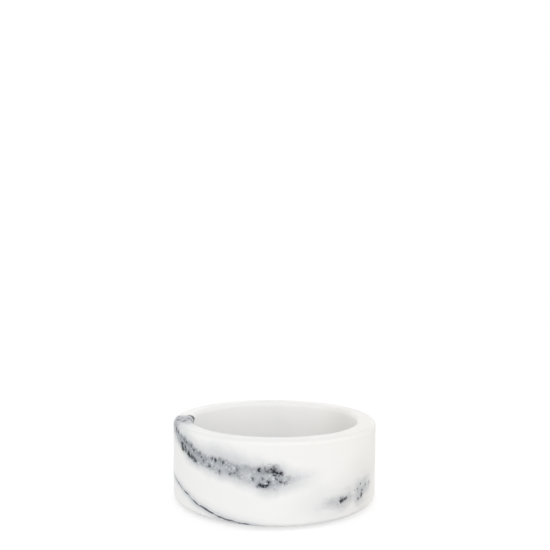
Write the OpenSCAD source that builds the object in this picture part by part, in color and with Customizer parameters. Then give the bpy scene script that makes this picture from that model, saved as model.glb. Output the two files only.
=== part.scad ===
// Round stone coaster with a high wall: a bowl turned from one block, with a flat-floored
// well. Four low rubber feet keep the stone off the table, each held to its underside by a
// disc of adhesive film.
// The z axis is the axis of turning, and z = 0 is the plane that the feet stand on.

/* [Stone body] */
// Outer diameter at the rim
rim_d = 133.4; // [122:0.2:180]
// Outer diameter at the base, a little less than at the rim
base_d = 132.2; // [118:0.2:180]
// Height of the stone, from its underside to the top of its rim
body_h = 49; // [25:0.5:90]
// Radius of the rim's outer edge
rim_outer_r = 2.8; // [0.5:0.1:4]
// Radius of the rim's inner edge, over the well
rim_inner_r = 3; // [0.5:0.1:4]
// Radius of the edge round the underside
base_edge_r = 3; // [0.5:0.1:6]

/* [Well] */
// Diameter of the well
well_d = 109; // [84:0.5:116]
// Thickness of the stone under the well
floor_t = 12; // [5:0.5:18]
// Radius of the hollow where the well's wall meets its floor
cove_r = 4; // [0.5:0.5:8]

/* [Rubber feet] */
// Diameter of each foot against the stone
foot_d = 13; // [8:0.5:22]
// Diameter of each foot on the table: its side draws in a little on the way down
foot_face_d = 12.4; // [7:0.1:22]
// Height of each foot
foot_h = 1.6; // [0.8:0.1:6]
// Radius of the edge round a foot's face
foot_edge_r = 0.4; // [0.1:0.05:0.7]
// Width of bare stone from the edge of the flat underside to a foot
foot_inset = 8; // [2:0.5:20]

/* [Adhesive film] */
// Thickness of the film between a foot and the stone
film_t = 0.2; // [0.1:0.05:0.5]
// Width of the foot's top that the film leaves bare all round
film_setback = 0.3; // [0.1:0.1:1.5]

/* [Hidden] */

$fn = 128;

rim_r = rim_d / 2;
base_r = base_d / 2;
well_r = well_d / 2;
foot_r = foot_d / 2;
foot_face_r = foot_face_d / 2;

// How far the stone's wall, and a foot's side, lean out from upright on the way up
wall_lean = atan((rim_r - base_r) / body_h);
foot_lean = atan((foot_r - foot_face_r) / foot_h);
// Height of the stone's underside over the table
body_z = foot_h + film_t;
// Radius of the flat underside, inside its rounded edge
underside_r = edge_centre(base_r, wall_lean, base_edge_r, base_edge_r)[0];
// The feet stand evenly round a circle of this radius
foot_places = 4;
foot_circle_r = underside_r - foot_inset - foot_r;
// How far a cut runs past the face that it opens
overrun = 1;

// Half sections are drawn with x as the radius and y as the height. A side that starts at
// the radius start_r and leans out by the angle lean is rounded by a circle of radius r,
// its centre at the height y. These are that centre, and the point where it meets the side.
function edge_centre(start_r, lean, r, y) = [start_r + y * tan(lean) - r / cos(lean), y];
function edge_touch(start_r, lean, r, y) =
    edge_centre(start_r, lean, r, y) + r * [cos(lean), -sin(lean)];

// The blank: the leaning wall between two rounded edges
module blank_section() {
    rim_y = body_h - rim_outer_r;
    rim_centre = edge_centre(base_r, wall_lean, rim_outer_r, rim_y);
    base_centre = edge_centre(base_r, wall_lean, base_edge_r, base_edge_r);
    polygon([
        [0, 0],
        [base_centre[0], 0],
        edge_touch(base_r, wall_lean, base_edge_r, base_edge_r),
        edge_touch(base_r, wall_lean, rim_outer_r, rim_y),
        [rim_centre[0], body_h],
        [0, body_h]
    ]);
    translate(base_centre) circle(base_edge_r);
    translate(rim_centre) circle(rim_outer_r);
}

// The well: a straight wall that runs into the flat floor by a hollow curve
module well_section() {
    polygon([
        [0, floor_t],
        [well_r - cove_r, floor_t],
        [well_r, floor_t + cove_r],
        [well_r, body_h + overrun],
        [0, body_h + overrun]
    ]);
    translate([well_r - cove_r, floor_t + cove_r]) circle(cove_r);
}

// What rounding takes off the rim's inner edge, which is square once the well is bored
module rim_inner_waste() {
    difference() {
        translate([well_r - overrun, body_h - rim_inner_r])
            square(rim_inner_r + overrun);
        translate([well_r + rim_inner_r, body_h - rim_inner_r])
            circle(rim_inner_r);
    }
}

// The bowl, turned in one piece
module stone_body() {
    color("whitesmoke")
        translate([0, 0, body_z])
            rotate_extrude()
                difference() {
                    blank_section();
                    well_section();
                    rim_inner_waste();
                }
}

// Carries its children to the place of one foot, counted from 1
module at_foot(number) {
    rotate([0, 0, (number - 0.5) * 360 / foot_places])
        translate([foot_circle_r, 0, 0])
            children();
}

// A foot, moulded with a leaning side and a rounded edge to its face
module foot_section() {
    centre = edge_centre(foot_face_r, foot_lean, foot_edge_r, foot_edge_r);
    polygon([
        [0, 0],
        [centre[0], 0],
        edge_touch(foot_face_r, foot_lean, foot_edge_r, foot_edge_r),
        [foot_r, foot_h],
        [0, foot_h]
    ]);
    translate(centre) circle(foot_edge_r);
}

// A rubber foot, with its face on the table
module rubber_foot(number) {
    color("dimgray")
        at_foot(number)
            rotate_extrude() foot_section();
}

// The disc of film that holds a foot to the stone
module adhesive_disc(number) {
    color("ivory")
        at_foot(number)
            translate([0, 0, foot_h])
                cylinder(h = film_t, r = foot_r - film_setback);
}

stone_body();
rubber_foot(1);  // rubber_foot_1
rubber_foot(2);  // rubber_foot_2
rubber_foot(3);  // rubber_foot_3
rubber_foot(4);  // rubber_foot_4
adhesive_disc(1);  // adhesive_disc_1
adhesive_disc(2);  // adhesive_disc_2
adhesive_disc(3);  // adhesive_disc_3
adhesive_disc(4);  // adhesive_disc_4
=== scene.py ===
"""A round coaster of white marble with blue-grey veins, on four rubber feet: its finishes,
floor, light and camera."""

import math
from typing import NamedTuple

import bpy
from mathutils import Matrix, Vector

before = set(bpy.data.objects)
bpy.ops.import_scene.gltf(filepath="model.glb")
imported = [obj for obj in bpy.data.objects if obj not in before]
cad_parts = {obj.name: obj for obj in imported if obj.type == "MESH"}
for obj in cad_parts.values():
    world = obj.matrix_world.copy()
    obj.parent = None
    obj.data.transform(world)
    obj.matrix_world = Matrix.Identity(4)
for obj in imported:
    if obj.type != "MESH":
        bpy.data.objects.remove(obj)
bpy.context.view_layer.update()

# A millimetre, in metres
MM = 0.001


# Shader maths

class Field:
    """A number, colour or vector that varies over a surface: one output in a material's nodes."""

    def __init__(self, tree, socket):
        self.tree = tree
        self.socket = socket

    def __add__(self, other):
        return calc("ADD", self, other)

    def __sub__(self, other):
        return calc("SUBTRACT", self, other)

    def __rsub__(self, other):
        return calc("MULTIPLY_ADD", self, -1.0, other)

    def __mul__(self, other):
        return calc("MULTIPLY", self, other)

    def __rmul__(self, other):
        return calc("MULTIPLY", self, other)

    def __truediv__(self, other):
        return calc("DIVIDE", self, other)

    def __abs__(self):
        return calc("ABSOLUTE", self)


def feed(tree, socket, value):
    """Links a field to a socket, or sets the socket to a plain value."""
    if isinstance(value, Field):
        tree.links.new(value.socket, socket)
    else:
        socket.default_value = value


def calc(operation, first, *others, clamped=False):
    """A maths node on number fields and plain numbers."""
    node = first.tree.nodes.new("ShaderNodeMath")
    node.operation = operation
    node.use_clamp = clamped
    for socket, value in zip(node.inputs, (first, *others)):
        feed(first.tree, socket, value)
    return Field(first.tree, node.outputs[0])


def clamp(field):
    """The field, kept from 0 to 1."""
    return calc("ADD", field, 0.0, clamped=True)


def most(first, *others):
    """The largest of some fields at each place."""
    for other in others:
        first = calc("MAXIMUM", first, other)
    return first


def join(fields, blend):
    """The largest of some fields at each place, rounded off over blend where two meet."""
    largest = fields[0]
    for field in fields[1:]:
        largest = calc("SMOOTH_MAX", largest, field, blend)
    return largest


def step(field, low, high):
    """0 below low, 1 above high and smooth between; the other way round where low is the larger."""
    node = field.tree.nodes.new("ShaderNodeMapRange")
    node.interpolation_type = "SMOOTHSTEP"
    feed(field.tree, node.inputs["Value"], field)
    node.inputs["From Min"].default_value = low
    node.inputs["From Max"].default_value = high
    return Field(field.tree, node.outputs["Result"])


def between(field, low, high):
    """Takes a field that goes from 0 to 1 to one that goes from low to high."""
    return field * (high - low) + low


# The middle value of a noise
MIDDLE = 0.5


def swing(field, span):
    """Takes a field that goes from 0 to 1 to one that swings over span, half of it each way."""
    return (field - MIDDLE) * span


def curve(field, points):
    """A smooth curve through points, each an input and an output, and level past its ends."""
    (first, _), (last, _) = points[0], points[-1]
    low = min(output for _, output in points)
    high = max(output for _, output in points)
    node = field.tree.nodes.new("ShaderNodeFloatCurve")
    line = node.mapping.curves[0]
    for _ in points[2:]:
        line.points.new(0.5, 0.5)
    for point, (place, output) in zip(line.points, points):
        point.location = ((place - first) / (last - first), (output - low) / (high - low))
    node.mapping.update()
    feed(field.tree, node.inputs["Value"], clamp((field - first) / (last - first)))
    return between(Field(field.tree, node.outputs[0]), low, high)


def vector_calc(operation, first, second=None, scale=None):
    """A vector maths node, which gives a number for a length, a distance or a dot product."""
    node = first.tree.nodes.new("ShaderNodeVectorMath")
    node.operation = operation
    feed(first.tree, node.inputs[0], first)
    if second is not None:
        feed(first.tree, node.inputs[1], second)
    if scale is not None:
        feed(first.tree, node.inputs["Scale"], scale)
    gives_number = operation in ("LENGTH", "DISTANCE", "DOT_PRODUCT")
    return Field(first.tree, node.outputs["Value" if gives_number else "Vector"])


def split(vector):
    """The three numbers of a vector or colour."""
    node = vector.tree.nodes.new("ShaderNodeSeparateXYZ")
    feed(vector.tree, node.inputs[0], vector)
    return [Field(vector.tree, output) for output in node.outputs]


def place_mm(tree):
    """The place on the surface in millimetres, in the frame that all the pieces share."""
    node = tree.nodes.new("ShaderNodeTexCoord")
    return vector_calc("SCALE", Field(tree, node.outputs["Object"]), scale=1 / MM)


class Noise(NamedTuple):
    """Smooth random lumps of about this size in millimetres. Detail and roughness add finer
    ones, and the shift sets one noise apart from the others."""
    size: float
    detail: float = 2.0
    roughness: float = 0.5
    shift: tuple = (0.0, 0.0, 0.0)


def noise_node(place, lumps):
    """A node with a noise as a number and as a colour."""
    node = place.tree.nodes.new("ShaderNodeTexNoise")
    feed(place.tree, node.inputs["Vector"], vector_calc("ADD", place, lumps.shift))
    node.inputs["Scale"].default_value = 1 / lumps.size
    node.inputs["Detail"].default_value = lumps.detail
    node.inputs["Roughness"].default_value = lumps.roughness
    return node


def noise(place, lumps):
    """A number from 0 to 1, mostly near its middle."""
    return Field(place.tree, noise_node(place, lumps).outputs[0])


def stir(place, lumps, reach):
    """The place pushed about by up to half of reach each way, in millimetres."""
    node = noise_node(place, lumps)
    centred = vector_calc("SUBTRACT", Field(place.tree, node.outputs[1]), (MIDDLE,) * 3)
    return vector_calc("ADD", place, vector_calc("SCALE", centred, scale=reach))


def crystals(place, size):
    """Crystals of about this size: the middle of the one that holds the place, and three
    numbers from 0 to 1 that differ from crystal to crystal."""
    node = place.tree.nodes.new("ShaderNodeTexVoronoi")
    feed(place.tree, node.inputs["Vector"], place)
    node.inputs["Scale"].default_value = 1 / size
    return Field(place.tree, node.outputs["Position"]), split(Field(place.tree, node.outputs["Color"]))


def mix(low, high, share):
    """The colour low where share is 0, and high where it is 1."""
    tree = share.tree
    node = tree.nodes.new("ShaderNodeMix")
    node.data_type = "RGBA"
    feed(tree, node.inputs[0], share)
    feed(tree, node.inputs[6], low if isinstance(low, Field) else (*low, 1.0))
    feed(tree, node.inputs[7], high if isinstance(high, Field) else (*high, 1.0))
    return Field(tree, node.outputs[2])


def new_material(name):
    """A material with one principled shader, and that shader."""
    material = bpy.data.materials.new(name)
    material.use_nodes = True
    return material, material.node_tree.nodes["Principled BSDF"]


def set_relief(tree, shader, height, depth):
    """Raises the surface by depth, in millimetres, where height goes from 0 to 1."""
    node = tree.nodes.new("ShaderNodeBump")
    node.inputs["Distance"].default_value = depth * MM
    feed(tree, node.inputs["Height"], height)
    tree.links.new(node.outputs["Normal"], shader.inputs["Normal"])


# Marble: its grain and unevenness

# All lengths of the marble are in millimetres. A pair of numbers that step takes is where a
# feature starts and where it is full.

# Two stirs bend and crinkle the veins
BEND = Noise(21.0)
BEND_REACH = 2.4
CRINKLE = Noise(4.2, shift=(31.0, 7.0, 11.0))
CRINKLE_REACH = 1.3

SUGAR = Noise(0.45, roughness=0.6)
PATCHES = Noise(3.4, 2.5, 0.6, (6.0, 9.0, 33.0))
DRIFTS = Noise(9.0, 3.0, 0.55, (44.0, 19.0, 3.0))

# Crystals of two sizes, whose edges two more stirs roughen
COARSE_CRYSTAL = 0.9
COARSE_STIR = Noise(0.6, shift=(8.0, 8.0, 8.0))
COARSE_REACH = 0.5
COARSE_SHARE = 0.55
FINE_CRYSTAL = 0.4
FINE_STIR = Noise(0.3, shift=(2.0, 5.0, 8.0))
FINE_REACH = 0.25
FINE_SHARE = 1 - COARSE_SHARE


class Fray(NamedTuple):
    """The spans over which drifts, patches and crystals make a field uneven."""
    drifts: float = 0.0
    patches: float = 0.0
    crystals: float = 0.0


class Stone:
    """The marble's grain and unevenness, which its ground, veins and grains share."""

    def __init__(self, tree):
        self.still = place_mm(tree)
        self.place = stir(stir(self.still, BEND, BEND_REACH), CRINKLE, CRINKLE_REACH)
        self.x, self.y, self.z = split(self.place)
        self.from_axis = vector_calc("LENGTH", vector_calc("MULTIPLY", self.place, (1.0, 1.0, 0.0)))
        self.sugar = noise(self.still, SUGAR)
        self.patches = noise(self.still, PATCHES)
        self.drifts = noise(self.still, DRIFTS)
        coarse, (self.lot, coarse_tone, self.pick) = crystals(
            stir(self.still, COARSE_STIR, COARSE_REACH), COARSE_CRYSTAL)
        fine, (_, fine_tone, _) = crystals(stir(self.still, FINE_STIR, FINE_REACH), FINE_CRYSTAL)
        self.crystal = vector_calc("ADD", vector_calc("SCALE", coarse, scale=COARSE_SHARE),
                                   vector_calc("SCALE", fine, scale=FINE_SHARE))
        self.tone = coarse_tone * COARSE_SHARE + fine_tone * FINE_SHARE

    def fray(self, field, spans):
        """The field, made uneven over these spans."""
        for unevenness, span in zip((self.drifts, self.patches, self.lot), spans):
            if span:
                field = field + swing(unevenness, span)
        return field


# White ground

# Colours, here and below, are linear shares of light
MARBLE_WHITE = (0.885, 0.882, 0.874)
MARBLE_WARM = (0.888, 0.869, 0.836)
MARBLE_CLOUD = (0.66, 0.67, 0.68)

GROUND_CLOUDS = Noise(34.0, 3.0, 0.55, (3.0, 50.0, 9.0))
GROUND_CLOUD = (0.5, 0.8)
GROUND_CLOUD_SHARE = 0.15
SUGAR_SPAN = 0.1
TONE_SPAN = 0.03

# The ground is creamier towards the right, and less so lower down
CREAM_EDGE = Noise(46.0, shift=(70.0, 3.0, 21.0))
CREAM_EDGE_SPAN = 60.0
CREAM_CLIMB = 0.5
CREAM = (55.0, 112.0)


def ground(stone):
    """The colour of the white ground."""
    rightwards = stone.x + stone.z * CREAM_CLIMB + noise(stone.place, CREAM_EDGE) * CREAM_EDGE_SPAN
    white = mix(MARBLE_WHITE, MARBLE_WARM, step(rightwards, *CREAM))
    clouds = step(noise(stone.place, GROUND_CLOUDS), *GROUND_CLOUD) * GROUND_CLOUD_SHARE
    speckle = swing(stone.sugar, SUGAR_SPAN) + swing(stone.tone, TONE_SPAN)
    return mix(white, MARBLE_CLOUD, clamp(clouds + speckle))


# Front vein: a bent sheet through the stone

# Along x: the height of its middle where y is 0, half its thickness, how far over its middle
# its haze reaches, how full its grey is, and how dark a streak runs near its upper edge
FRONT_MIDDLE = [
    (-70, 51.0), (-62, 49.0), (-57, 47.8), (-50, 45.8), (-46, 44.4), (-41, 43.9), (-36, 43.6),
    (-30, 43.2), (-25, 42.6), (-18, 41.2), (-11, 40.3), (-5, 40.1), (0, 40.5), (4, 40.2), (8, 39.4),
    (14, 39.6), (24, 40.4),
]
FRONT_HALF = [
    (-70, 3.0), (-62, 3.2), (-57, 4.2), (-50, 4.8), (-46, 4.2), (-41, 3.7), (-36, 4.0), (-30, 4.6),
    (-25, 4.3), (-18, 4.6), (-11, 5.2), (-5, 6.4), (-1, 6.8), (4, 4.6), (8, 2.8), (14, 1.6), (24, 0.8),
]
FRONT_HAZE = [
    (-66, 12.0), (-56, 13.0), (-48, 13.0), (-40, 15.0), (-30, 17.0), (-18, 15.5), (-6, 14.5),
    (4, 12.0), (14, 8.0), (28, 4.0),
]
FRONT_FULL = [
    (-66, 0.75), (-56, 0.95), (-46, 0.95), (-36, 0.82), (-26, 0.82), (-18, 0.68), (-12, 0.6),
    (-5, 0.9), (3, 0.8), (9, 0.52), (16, 0.16), (24, 0.0),
]
FRONT_STREAK = [
    (-66, 0.2), (-56, 0.45), (-46, 0.5), (-36, 0.22), (-20, 0.3), (-11, 0.25), (-3, 0.35), (10, 0.0),
]

# It leans along y, rises a little on its way backwards, and ends close behind the axis
FRONT_LEAN = 0.15
FRONT_RISE = 2.2
FRONT_RISE_ALONG_Y = (-34.0, -21.0)
FRONT_END_ALONG_Y = (6.0, -3.0)

# Its edges and its streak, where -1 is its lower edge and 1 its upper edge
FRONT_LOWER_EDGE = (-1.3, -0.5)
FRONT_UPPER_EDGE = (1.35, 0.5)
FRONT_FRAY = Fray(patches=3.2, crystals=1.3)
STREAK_HEIGHT = 0.5
STREAK_EDGE = (0.7, 0.1)

# How much further than the grey the haze reaches downwards, and how much more at the right
HAZE_BELOW = 2.0
HAZE_BELOW_RIGHT = 3.0
HAZE_RIGHT_ALONG_X = (0.0, 14.0)
HAZE_END_ALONG_X = (31.0, -2.0)
HAZE_FRAY = Fray(drifts=5.0, patches=2.0)
# Its edges, as shares of how far it reaches
HAZE_LOWER_EDGE = (-1.65, -0.5)
HAZE_UPPER_EDGE = (1.0, 0.15)


def front_vein(stone):
    """Shares of the front vein's grey, of the haze round it and of the streak in it."""
    rise = FRONT_RISE * step(stone.y, *FRONT_RISE_ALONG_Y)
    over = stone.z - FRONT_LEAN * stone.y - rise - curve(stone.x, FRONT_MIDDLE)
    half = curve(stone.x, FRONT_HALF)
    front = step(stone.y, *FRONT_END_ALONG_Y)
    across = stone.fray(over, FRONT_FRAY) / half
    edges = step(across, *FRONT_LOWER_EDGE) * step(across, *FRONT_UPPER_EDGE)
    core = edges * curve(stone.x, FRONT_FULL) * front
    hazy = stone.fray(over, HAZE_FRAY)
    below = half + step(stone.x, *HAZE_RIGHT_ALONG_X) * HAZE_BELOW_RIGHT + HAZE_BELOW
    haze_edges = (step(hazy / below, *HAZE_LOWER_EDGE)
                  * step(hazy / curve(stone.x, FRONT_HAZE), *HAZE_UPPER_EDGE))
    haze = haze_edges * step(stone.x, *HAZE_END_ALONG_X) * front
    streak = step(abs(across - STREAK_HEIGHT), *STREAK_EDGE) * curve(stone.x, FRONT_STREAK) * front
    return core, haze, streak


# Back vein: such a sheet too, in the outer part of the wall

# Along x: the height of its middle and half its thickness
BACK_MIDDLE = [
    (-58, 19.0), (-42, 25.0), (-26, 30.0), (-10, 31.0), (4, 27.0), (18, 22.5), (34, 21.0), (50, 24.0),
]
BACK_HALF = [
    (-58, 1.2), (-42, 3.0), (-26, 5.0), (-10, 4.2), (4, 2.6), (18, 4.4), (34, 3.6), (50, 1.0),
]

# Where it comes in, from the axis outwards and from the front backwards, and its ends along x
BACK_FROM_AXIS = (57.0, 63.0)
BACK_ALONG_Y = (10.0, 35.0)
BACK_CENTRE_X = -4.0
BACK_ENDS = (56.0, 40.0)
# Its edge in half thicknesses, and its haze in millimetres from its middle
BACK_EDGE = (1.4, 0.5)
BACK_FRAY = Fray(patches=4.0, crystals=1.8)
BACK_HAZE = (11.0, 2.0)
BACK_HAZE_FRAY = Fray(drifts=9.0)
# Which of the drifts in it are knots
BACK_KNOTS = (0.54, 0.7)
KNOT_FRAY = Fray(patches=0.5)


def back_vein(stone):
    """Shares of the back vein's grey, of the haze round it and of its knots."""
    over = stone.z - curve(stone.x, BACK_MIDDLE)
    across = stone.fray(over, BACK_FRAY) / curve(stone.x, BACK_HALF)
    back = (step(stone.from_axis, *BACK_FROM_AXIS) * step(stone.y, *BACK_ALONG_Y)
            * step(abs(stone.x - BACK_CENTRE_X), *BACK_ENDS))
    core = step(abs(across), *BACK_EDGE) * back
    haze = step(abs(stone.fray(over, BACK_HAZE_FRAY)), *BACK_HAZE) * back
    knots = step(stone.fray(stone.drifts, KNOT_FRAY), *BACK_KNOTS) * core
    return core, haze, knots


# Places on the outer wall

# Each is an azimuth in degrees, from the front towards the right, a height over the table, and
# the radius of what is there. They are read at this radius of the wall.
WALL_RADIUS = 66.4


def wall_place(azimuth, height):
    """The point of the outer wall at this azimuth and height."""
    turn = math.radians(azimuth)
    return WALL_RADIUS * math.sin(turn), -WALL_RADIUS * math.cos(turn), height


def nearness(place, centre, radius, slope):
    """Rises by slope for each millimetre towards the centre, from 0 at the radius."""
    return calc("MULTIPLY_ADD", vector_calc("DISTANCE", place, centre), -slope, slope * radius)


def near_places(place, spots, blend, flat=1.0):
    """1 in the middle of the spots on the outer wall, and 0 from about their radius outwards,
    or from flat times less upwards and downwards. They run into each other over blend."""
    stretched = vector_calc("MULTIPLY", place, (1.0, 1.0, flat))
    return join([nearness(stretched, wall_place(azimuth, height * flat), radius, 1 / radius)
                 for azimuth, height, radius in spots], blend)


# Grey clouds and patches

ROUND_CLOUDS = [
    (38.0, 13.2, 8.0), (42.0, 15.0, 8.0), (50.0, 12.5, 8.5), (53.0, 15.5, 11.5), (57.0, 17.5, 8.5),
    (49.5, 17.0, 8.5), (61.5, 18.0, 5.0),
    (119.0, 37.0, 11.0), (128.0, 34.0, 8.0), (-117.0, 15.5, 10.0), (-126.0, 13.0, 8.0),
]
FLAT_CLOUDS = [(36.5, 12.8, 16.5), (30.5, 13.0, 12.0), (31.5, 12.4, 12.0)]
CLOUD_FLATNESS = 2.4
ROUND_BLEND = 0.5
FLAT_BLEND = 0.3
CLOUD_GREY = (0.47, 0.475, 0.49)

# Level streaks make the clouds ragged
STREAKS = Noise(12.0, 3.0, 0.55, (5.0, 28.0, 16.0))
STREAK_FLATNESS = 3.5
STREAK_SPAN = 1.2
CLOUD_FRAY = Fray(patches=0.1, crystals=0.06)

# A cloud has a full part, and a fainter and less ragged part round it
FULL_CLOUD = (0.0, 1.2)
FULL_CLOUD_SHARE = 0.68
FAINT_CLOUD = (-1.5, 0.5)
FAINT_CLOUD_SHARE = 0.2
FAINT_RAGGEDNESS = 0.3

# Patches of grey crystals in the clouds
GREY_PATCHES = [
    (48.3, 10.6, 4.0), (50.3, 13.0, 5.5), (53.3, 15.6, 6.0), (56.8, 17.8, 5.5), (49.5, 17.0, 4.5),
    (118.0, 36.5, 5.5), (123.0, 35.0, 6.0), (129.0, 33.5, 4.0), (-117.0, 15.0, 5.0),
]
PATCH_BLEND = 0.3
GREY_PATCH = (0.0, 1.0)
GREY_PATCH_FRAY = Fray(patches=0.9, crystals=0.5)


def grey_clouds(stone):
    """Shares of the soft grey clouds."""
    streaks = noise(vector_calc("MULTIPLY", stone.place, (1.0, 1.0, STREAK_FLATNESS)), STREAKS)
    ragged = stone.fray(swing(streaks, STREAK_SPAN), CLOUD_FRAY)
    in_cloud = join([near_places(stone.place, ROUND_CLOUDS, ROUND_BLEND),
                     near_places(stone.place, FLAT_CLOUDS, FLAT_BLEND, CLOUD_FLATNESS)], FLAT_BLEND)
    full = step(in_cloud + ragged, *FULL_CLOUD) * FULL_CLOUD_SHARE
    faint = step(in_cloud + ragged * FAINT_RAGGEDNESS, *FAINT_CLOUD) * FAINT_CLOUD_SHARE
    return full + faint


def grey_patches(stone):
    """Shares of the patches of grey crystals."""
    near = near_places(stone.place, GREY_PATCHES, PATCH_BLEND)
    return step(stone.fray(near, GREY_PATCH_FRAY), *GREY_PATCH)


# Deep veins

# Faint veins in the middle of the stone, which come out on the well's floor and on the
# underside. Each is a line with a shade along it, where a noise crosses its middle value.
DEEP_BENDS = Noise(44.0, 3.0, 0.5, (15.0, 8.0, 52.0))
DEEP_LINE = (0.035, 0.0)
DEEP_LINE_SHARE = 0.22
DEEP_SHADE = (0.12, 0.0)
DEEP_SHADE_SHARE = 0.2
# How far from the axis they end
DEEP_END = (53.5, 47.0)


def deep_veins(stone):
    """Shares of the deep veins' grey."""
    off_line = abs(noise(stone.place, DEEP_BENDS) - MIDDLE)
    line = step(off_line, *DEEP_LINE) * DEEP_LINE_SHARE
    shade = step(off_line, *DEEP_SHADE) * DEEP_SHADE_SHARE
    return (line + shade) * step(stone.from_axis, *DEEP_END)


# Hairline vein: a thin, nearly flat sheet, low across the stone, with a soft shade along it

# Its height on the axis, and how much it falls along x and rises along y
HAIRLINE_HEIGHT = 9.8
HAIRLINE_FALL = 0.15
HAIRLINE_LEAN = 0.15
# How far it bends up from flat, along x
HAIRLINE_BEND = [
    (-66, 0.2), (-55, 0.7), (-49, 0.3), (-44, -0.5), (-36, -0.8), (-26, -1.0), (-20, -0.9),
    (-15, -0.2), (0, 0.0),
]
HAIRLINE_DARK = (0.10, 0.11, 0.13)

LONG_WANDER = Noise(24.0, shift=(4.0, 60.0, 2.0))
LONG_WANDER_SPAN = 5.0
SHORT_WANDER = Noise(5.0, 3.0, 0.6, (9.0, 5.0, 1.0))
SHORT_WANDER_SPAN = 1.1

# It is strong round the front left, and faint from there to the back
STRONG_CENTRE_X = -34.0
STRONG_ENDS = (44.0, 26.0)
STRONG_ALONG_Y = (10.0, -30.0)
FAINT_ALONG_Y = (38.0, 0.0)
STRONG_LINE_SHARE = 0.7
FAINT_LINE_SHARE = 0.3
STRONG_SHADE_SHARE = 0.85
FAINT_SHADE_SHARE = 0.1

# Its line, as distances from its middle, and its breaks, where it is thinner and paler
LINE_EDGE = (0.5, 0.1)
LINE_SWELL = 0.25
BREAKS = Noise(6.0, shift=(1.0, 2.0, 3.0))
WHOLE = (0.36, 0.62)
BROKEN_SHARE = 0.55

# Its shade has a narrow part and a wide part
NARROW_SHADE = (3.0, 0.8)
NARROW_SHADE_SHARE = 0.75
WIDE_SHADE = (6.5, 1.5)
WIDE_SHADE_SHARE = 0.36

# The least by which a surface is taken to cut across a sheet, squared
LEAST_CUT = 0.01


def across_sheet(tree, normal):
    """How squarely a sheet with this normal cuts the surface: 1 where it stands upright to it."""
    geometry = tree.nodes.new("ShaderNodeNewGeometry")
    facing = vector_calc("DOT_PRODUCT", Field(tree, geometry.outputs["Normal"]), normal)
    return calc("SQRT", most(1.0 - facing * facing, LEAST_CUT))


def hairline_vein(stone):
    """Shares of the hairline and of the shade along it."""
    x, y, z = split(stone.still)
    squarely = across_sheet(z.tree, Vector((HAIRLINE_FALL, -HAIRLINE_LEAN, 1.0)).normalized())
    wander = (swing(noise(stone.still, LONG_WANDER), LONG_WANDER_SPAN)
              + swing(noise(stone.still, SHORT_WANDER), SHORT_WANDER_SPAN))
    over = z - HAIRLINE_HEIGHT + HAIRLINE_FALL * x - HAIRLINE_LEAN * y - curve(x, HAIRLINE_BEND)
    off_line = abs(over / squarely + wander)
    strong = step(abs(stone.x - STRONG_CENTRE_X), *STRONG_ENDS) * step(stone.y, *STRONG_ALONG_Y)
    faint = step(stone.y, *FAINT_ALONG_Y)
    whole = step(noise(stone.place, BREAKS), *WHOLE)
    line = step(off_line - strong * LINE_SWELL * whole, *LINE_EDGE) * between(whole, BROKEN_SHARE, 1.0)
    shade = (step(off_line, *NARROW_SHADE) * NARROW_SHADE_SHARE
             + step(off_line, *WIDE_SHADE) * WIDE_SHADE_SHARE)
    return (line * (strong * STRONG_LINE_SHARE + faint * FAINT_LINE_SHARE),
            shade * (strong * STRONG_SHADE_SHARE + faint * FAINT_SHADE_SHARE))


# Grains and crystals

# Dark grains on the outer wall
WALL_GRAINS = [
    # Left end of the front vein
    (-67.7, 47.7, 2.0), (-63.8, 47.2, 1.8),
    (-58.2, 41.2, 2.3), (-57.4, 38.7, 2.5), (-55.9, 44.4, 1.4), (-54.7, 40.4, 1.8), (-54.0, 38.1, 2.0),
    (-53.2, 43.2, 1.6), (-51.0, 37.3, 2.4), (-49.8, 36.2, 2.1), (-48.4, 35.9, 2.0), (-48.4, 42.5, 1.4),
    (-46.9, 35.4, 1.8), (-46.2, 40.0, 1.4), (-45.6, 34.6, 1.9), (-44.3, 34.1, 1.4), (-41.3, 39.3, 1.4),
    (-40.5, 37.3, 1.1), (-38.8, 35.5, 1.4),
    # Its middle
    (-34.7, 33.1, 1.4), (-33.0, 38.0, 1.4), (-31.2, 37.4, 1.6), (-28.6, 30.8, 1.4), (-27.9, 37.8, 1.5),
    (-26.5, 36.6, 1.5), (-22.2, 30.9, 1.4), (-20.0, 31.7, 1.2), (-18.6, 32.9, 1.5),
    # The cluster at its right end
    (-10.5, 29.1, 1.4), (-7.7, 34.2, 2.0), (-7.6, 25.6, 1.5), (-5.7, 29.6, 1.3), (-6.4, 25.6, 1.8),
    (-5.2, 25.4, 1.8), (-3.9, 25.5, 1.8), (-4.4, 35.0, 1.4), (-3.2, 33.4, 1.7), (-2.7, 27.5, 2.0),
    (-0.9, 34.3, 2.0), (-0.4, 36.4, 1.0), (-0.1, 34.7, 1.7), (0.2, 31.6, 1.6), (-0.3, 34.0, 2.5),
    (0.8, 29.4, 1.4), (1.3, 32.9, 1.8), (3.0, 27.7, 1.4), (3.2, 32.4, 2.0), (5.2, 27.7, 1.3),
    # Right side, mostly in the clouds
    (33.9, 11.8, 1.0), (36.5, 13.3, 2.3), (38.2, 14.2, 1.6), (39.9, 14.3, 1.6), (46.3, 17.4, 1.1),
    (48.4, 16.9, 1.3), (49.6, 10.9, 1.8), (51.9, 19.6, 1.2), (52.6, 12.8, 2.1), (53.3, 15.3, 1.5),
    (57.3, 17.5, 1.3), (61.1, 17.6, 1.0), (72.7, 28.7, 1.1),
    # The clouds at the back
    (115.5, 37.5, 1.8), (117.5, 36.0, 1.5), (121.0, 36.0, 2.3), (124.5, 33.8, 1.6), (131.0, 33.0, 1.3),
    (-112.5, 16.5, 1.3), (-115.0, 16.0, 1.6), (-118.0, 14.5, 2.2), (-121.5, 13.5, 1.3),
]

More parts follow.
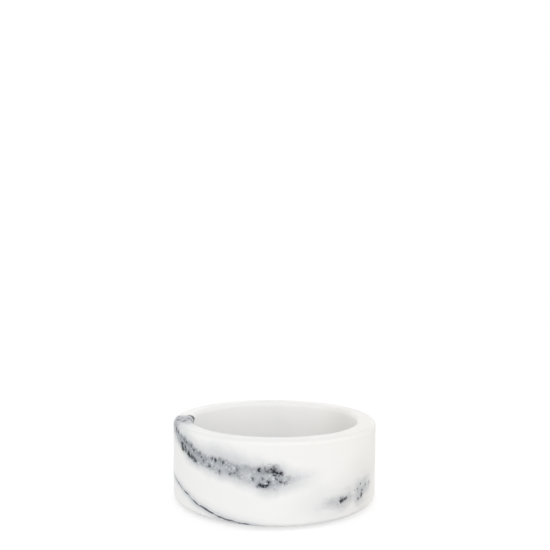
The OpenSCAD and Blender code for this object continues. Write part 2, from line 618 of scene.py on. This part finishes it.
# Dark grains where the front vein crosses the lip: x, y, z and radius
LIP_GRAINS = [
    # Round its inner edge. The one at y 2.4 and height 46.9 is partly painted shade: it darkens the top of
    # the well's wall, where shade falls, as well as the vein there.
    (-57.3, 3.1, 50.8, 1.8), (-56.4, 2.8, 50.6, 2.2), (-55.7, 2.7, 50.2, 2.6), (-55.1, 2.9, 49.6, 2.9),
    (-54.7, 3.6, 48.9, 2.7), (-54.5, 4.6, 48.1, 2.2), (-54.5, 2.4, 46.9, 1.8), (-54.2, -6.0, 49.2, 1.6),
    (-53.2, -11.0, 49.6, 1.8),
    # Down the well's wall
    (-54.3, -3.0, 44.8, 1.7), (-53.9, -8.0, 45.6, 1.5), (-52.9, -13.0, 43.0, 1.8),
    (-51.5, -18.0, 44.0, 1.4), (-49.0, -24.0, 42.0, 1.8), (-45.8, -29.5, 41.0, 1.5),
    # On its top
    (-63.7, -2.0, 50.6, 1.8), (-62.9, -11.4, 50.7, 2.1), (-61.2, -12.0, 50.8, 1.7),
    (-57.7, -13.4, 50.8, 2.1), (-58.7, -16.6, 50.8, 1.8), (-56.4, -7.2, 50.7, 1.7), (-61.0, -5.5, 50.8, 1.3),
]

# Patches of paler crystals in the front vein
PALE_PATCHES = [
    (-4.0, 30.2, 3.8), (-0.5, 29.8, 3.4), (-13.5, 32.5, 4.2), (-12.5, 29.6, 3.6), (5.5, 31.0, 2.6),
]
PALE_PATCH = (0.0, 0.8)
PALE_PATCH_FRAY = Fray(patches=0.7, crystals=0.5)

# How much darker a grain gets for each millimetre towards its middle, and what makes its
# outline uneven
GRAIN_SLOPE = 0.5
CLUMPS = Noise(1.7, 2.5, 0.6, (12.0, 41.0, 7.0))
CLUMP_SPAN = 1.3
GRAIN_EDGE = (0.05, 0.8)
GRAIN_FRAY = Fray(crystals=0.4)
# The shadow round a grain, inside a vein
HALO_EDGE = (-0.9, 0.6)
HALO_FRAY = Fray(patches=0.6)
# Some of the crystals in the back vein's knots are dark grains too
KNOT_SHARE = 0.45
KNOT_GRAINS = (0.95, 1.15)

# Which crystals of a vein are dark specks, and which are white flecks
SPECKS = (0.2, 0.08)
FLECKS = (0.9, 0.96)
MORE_FLECKS_IN_PALE = 0.1


def dark_grains(stone, knots):
    """Shares of the dark grains, and the nearness to those that have a place."""
    placed = most(*[nearness(stone.crystal, wall_place(azimuth, height), radius, GRAIN_SLOPE)
                    for azimuth, height, radius in WALL_GRAINS],
                  *[nearness(stone.crystal, spot, radius, GRAIN_SLOPE) for *spot, radius in LIP_GRAINS])
    clumped = placed + swing(noise(stone.still, CLUMPS), CLUMP_SPAN)
    grains = step(stone.fray(clumped, GRAIN_FRAY), *GRAIN_EDGE)
    knot_grains = step(stone.lot + knots * KNOT_SHARE, *KNOT_GRAINS) * knots
    return most(grains, knot_grains), placed


# Marble: its colour, layer over layer, and its finish

VEIN_MIST = (0.55, 0.565, 0.585)
VEIN_GREY = (0.335, 0.355, 0.38)
VEIN_PALE = (0.53, 0.55, 0.58)
VEIN_DEEP = (0.17, 0.185, 0.21)
GRAIN_WHITE = (0.84, 0.85, 0.86)
GRAIN_DARK = (0.012, 0.015, 0.022)

# How much each feature gives to its layer
FRONT_HAZE_SHARE = 0.8
BACK_HAZE_SHARE = 0.5
BACK_CORE_SHARE = 0.85
GREY_PATCH_SHARE = 0.4
SPECK_SHARE = 0.65
HALO_SHARE = 0.35
FLECK_SHARE = 0.55
# How much a pale patch takes away from the front vein's grey
PALE_PATCH_CUT = 0.7

# What makes a vein's grey paler: its patches, and the tone of each crystal
PALE_VEIN = (0.35, 0.7)
PALE_VEIN_SHARE = 0.6
PALE_TONE_SHARE = 0.4

MARBLE_ROUGHNESS = (0.36, 0.48)
MARBLE_SPECULAR = 0.3
# How much of the light goes into the stone, and how deep
MARBLE_GLOW_SHARE = 0.2
MARBLE_GLOW_DEPTH = 2.0
MARBLE_RELIEF = 0.03


def marble_colour(stone):
    """The marble's layers, from its white ground up to its dark grains."""
    front_core, front_haze, streak = front_vein(stone)
    back_core, back_haze, knots = back_vein(stone)
    hairline, shade = hairline_vein(stone)
    dark, near_grain = dark_grains(stone, knots)
    near_pale = near_places(stone.place, PALE_PATCHES, PATCH_BLEND)
    pale = step(stone.fray(near_pale, PALE_PATCH_FRAY), *PALE_PATCH)
    body_share = clamp(front_core * (1.0 - pale * PALE_PATCH_CUT) + back_core * BACK_CORE_SHARE
                       + grey_patches(stone) * GREY_PATCH_SHARE)
    halo = step(stone.fray(near_grain, HALO_FRAY), *HALO_EDGE) * clamp(front_core + front_haze)
    specks = step(stone.pick, *SPECKS) * body_share
    flecks = step(stone.pick + pale * MORE_FLECKS_IN_PALE, *FLECKS) * front_core
    paleness = step(stone.patches, *PALE_VEIN) * PALE_VEIN_SHARE + stone.tone * PALE_TONE_SHARE

    colour = mix(ground(stone), MARBLE_CLOUD, clamp(shade))
    colour = mix(colour, CLOUD_GREY, most(grey_clouds(stone), deep_veins(stone)))
    colour = mix(colour, VEIN_MIST, clamp(front_haze * FRONT_HAZE_SHARE + back_haze * BACK_HAZE_SHARE))
    colour = mix(colour, mix(VEIN_GREY, VEIN_PALE, clamp(paleness)), body_share)
    colour = mix(colour, VEIN_DEEP, clamp(most(specks * SPECK_SHARE, streak, halo * HALO_SHARE)))
    colour = mix(colour, GRAIN_WHITE, clamp(flecks * FLECK_SHARE))
    colour = mix(colour, HAIRLINE_DARK, hairline)
    return mix(colour, GRAIN_DARK, dark)


def marble():
    material, shader = new_material("honed_marble")
    tree = material.node_tree
    stone = Stone(tree)
    feed(tree, shader.inputs["Base Color"], marble_colour(stone))
    feed(tree, shader.inputs["Roughness"], between(stone.sugar, *MARBLE_ROUGHNESS))
    shader.inputs["Specular IOR Level"].default_value = MARBLE_SPECULAR
    shader.inputs["Subsurface Weight"].default_value = MARBLE_GLOW_SHARE
    shader.inputs["Subsurface Radius"].default_value = (1.0, 1.0, 1.0)
    shader.inputs["Subsurface Scale"].default_value = MARBLE_GLOW_DEPTH * MM
    set_relief(tree, shader, stone.sugar, MARBLE_RELIEF)
    return material


# Rubber

RUBBER_DARK = (0.012, 0.012, 0.013)
RUBBER_LIGHT = (0.022, 0.022, 0.023)
RUBBER_GRAIN = Noise(0.25, 3.0, 0.6)
RUBBER_ROUGHNESS = (0.62, 0.82)
RUBBER_RELIEF = 0.02
DUST_COLOUR = (0.07, 0.068, 0.064)
DUST_SPOTS = Noise(1.6, 4.0, 0.6, (9.0, 2.0, 4.0))
DUST = (0.52, 0.75)
DUST_SHARE = 0.6


def rubber():
    material, shader = new_material("moulded_rubber")
    tree = material.node_tree
    place = place_mm(tree)
    grain = noise(place, RUBBER_GRAIN)
    dust = step(noise(place, DUST_SPOTS), *DUST)
    colour = mix(mix(RUBBER_DARK, RUBBER_LIGHT, grain), DUST_COLOUR, dust * DUST_SHARE)
    feed(tree, shader.inputs["Base Color"], colour)
    feed(tree, shader.inputs["Roughness"], between(grain, *RUBBER_ROUGHNESS))
    set_relief(tree, shader, grain, RUBBER_RELIEF)
    return material


# Adhesive film

FILM_DARK = (0.62, 0.59, 0.5)
FILM_LIGHT = (0.74, 0.71, 0.63)
FILM_MOTTLE = Noise(0.8, 3.0, 0.6)
FILM_ROUGHNESS = (0.3, 0.5)
FILM_RELIEF = 0.02


def adhesive_film():
    material, shader = new_material("adhesive_film")
    tree = material.node_tree
    mottle = noise(place_mm(tree), FILM_MOTTLE)
    feed(tree, shader.inputs["Base Color"], mix(FILM_DARK, FILM_LIGHT, mottle))
    feed(tree, shader.inputs["Roughness"], between(mottle, *FILM_ROUGHNESS))
    set_relief(tree, shader, mottle, FILM_RELIEF)
    return material


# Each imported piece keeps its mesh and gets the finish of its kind

FINISHES = {"stone_body": marble(), "rubber_foot": rubber(), "adhesive_disc": adhesive_film()}

for node_name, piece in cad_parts.items():
    kind = node_name.rstrip("_0123456789")
    piece.data.materials.clear()
    piece.data.materials.append(FINISHES[kind])


# Floor and light

FLOOR_SIDE = 6.0
# Share of light that the floor throws back at the pieces
FLOOR_BOUNCE = 0.8
# What the camera sees of the floor: this share of the light on it, and a steady glow
FLOOR_SEEN_SHARE = 0.5
FLOOR_GLOW = 0.6
# Light from all round. The camera sees it white.
WORLD_LEVEL = 0.66
WHITE = (1.0, 1.0, 1.0, 1.0)

# Wide soft lamps far away: name, azimuth from the front and elevation in degrees, and level.
# A surface that faces a lamp gets level times the light that makes white look white.
LAMPS = [
    ("front_lamp", -2, 8, 0.46),
    ("left_lamp", -85, 10, 0.17),
    ("right_lamp", 85, 10, 0.21),
    ("back_lamp", 180, 10, 0.18),
]
LAMP_WIDTH = math.radians(60)


def camera_like_rays(tree):
    """1 for what the camera sees straight, in a gloss or through glass, and 0 for other light."""
    path = tree.nodes.new("ShaderNodeLightPath")
    straight = Field(tree, path.outputs["Is Camera Ray"])
    return clamp(straight + Field(tree, path.outputs["Is Glossy Ray"])
                 + Field(tree, path.outputs["Is Transmission Ray"]))


def floor_material():
    """A matt floor with a glow that the camera sees, clear from below."""
    material = bpy.data.materials.new("pale_floor")
    material.use_nodes = True
    tree = material.node_tree
    tree.nodes.clear()
    seen = camera_like_rays(tree)
    matt = tree.nodes.new("ShaderNodeBsdfDiffuse")
    feed(tree, matt.inputs["Color"], mix((FLOOR_BOUNCE,) * 3, (FLOOR_SEEN_SHARE,) * 3, seen))
    glow = tree.nodes.new("ShaderNodeEmission")
    feed(tree, glow.inputs["Strength"], seen * FLOOR_GLOW)
    both = tree.nodes.new("ShaderNodeAddShader")
    tree.links.new(matt.outputs[0], both.inputs[0])
    tree.links.new(glow.outputs[0], both.inputs[1])
    clear = tree.nodes.new("ShaderNodeBsdfTransparent")
    side = tree.nodes.new("ShaderNodeNewGeometry")
    chosen = tree.nodes.new("ShaderNodeMixShader")
    tree.links.new(side.outputs["Backfacing"], chosen.inputs[0])
    tree.links.new(both.outputs[0], chosen.inputs[1])
    tree.links.new(clear.outputs[0], chosen.inputs[2])
    output = tree.nodes.new("ShaderNodeOutputMaterial")
    tree.links.new(chosen.outputs[0], output.inputs["Surface"])
    return material


def lay_floor():
    half = FLOOR_SIDE / 2
    mesh = bpy.data.meshes.new("floor")
    corners = [(-half, -half, 0), (half, -half, 0), (half, half, 0), (-half, half, 0)]
    mesh.from_pydata(corners, [], [(0, 1, 2, 3)])
    mesh.materials.append(floor_material())
    floor = bpy.data.objects.new("floor", mesh)
    bpy.context.scene.collection.objects.link(floor)


def light_world():
    world = bpy.data.worlds.new("pale_studio")
    bpy.context.scene.world = world
    world.use_nodes = True
    tree = world.node_tree
    background = tree.nodes["Background"]
    background.inputs["Color"].default_value = WHITE
    feed(tree, background.inputs["Strength"], between(camera_like_rays(tree), WORLD_LEVEL, 1.0))


def add_lamp(name, azimuth, elevation, level):
    lamp = bpy.data.lights.new(name, "SUN")
    lamp.angle = LAMP_WIDTH
    lamp.energy = level * math.pi
    obj = bpy.data.objects.new(name, lamp)
    turn = math.radians(azimuth)
    rise = math.radians(elevation)
    level_reach = math.cos(rise)
    towards = Vector((math.sin(turn) * level_reach, -math.cos(turn) * level_reach, math.sin(rise)))
    obj.rotation_euler = towards.to_track_quat("Z", "Y").to_euler()
    bpy.context.scene.collection.objects.link(obj)


lay_floor()
light_world()
for lamp_values in LAMPS:
    add_lamp(*lamp_values)


# Camera: place and tilts as in the reference view

# The picture is square, and the focal length is given in its pixels
PICTURE_SIDE = 550
FOCAL_PIXELS = 651.885
SENSOR_WIDTH = 36.0
CLIP_START = 0.01
CAMERA_PLACE = (-0.57 * MM, -435.98 * MM, 140.73 * MM)
# Angles in radians: up from level, and about the line of sight
CAMERA_TILT_UP = 0.011
CAMERA_ROLL = 0.0083


def add_camera():
    camera_data = bpy.data.cameras.new("camera")
    camera_data.sensor_width = SENSOR_WIDTH
    camera_data.lens = FOCAL_PIXELS / PICTURE_SIDE * SENSOR_WIDTH
    camera_data.clip_start = CLIP_START
    camera = bpy.data.objects.new("camera", camera_data)
    bpy.context.scene.collection.objects.link(camera)
    camera.matrix_world = (Matrix.Translation(CAMERA_PLACE)
                           @ Matrix.Rotation(math.pi / 2 + CAMERA_TILT_UP, 4, "X")
                           @ Matrix.Rotation(CAMERA_ROLL, 4, "Z"))
    bpy.context.scene.camera = camera
    bpy.context.scene.view_settings.view_transform = "Standard"


add_camera()
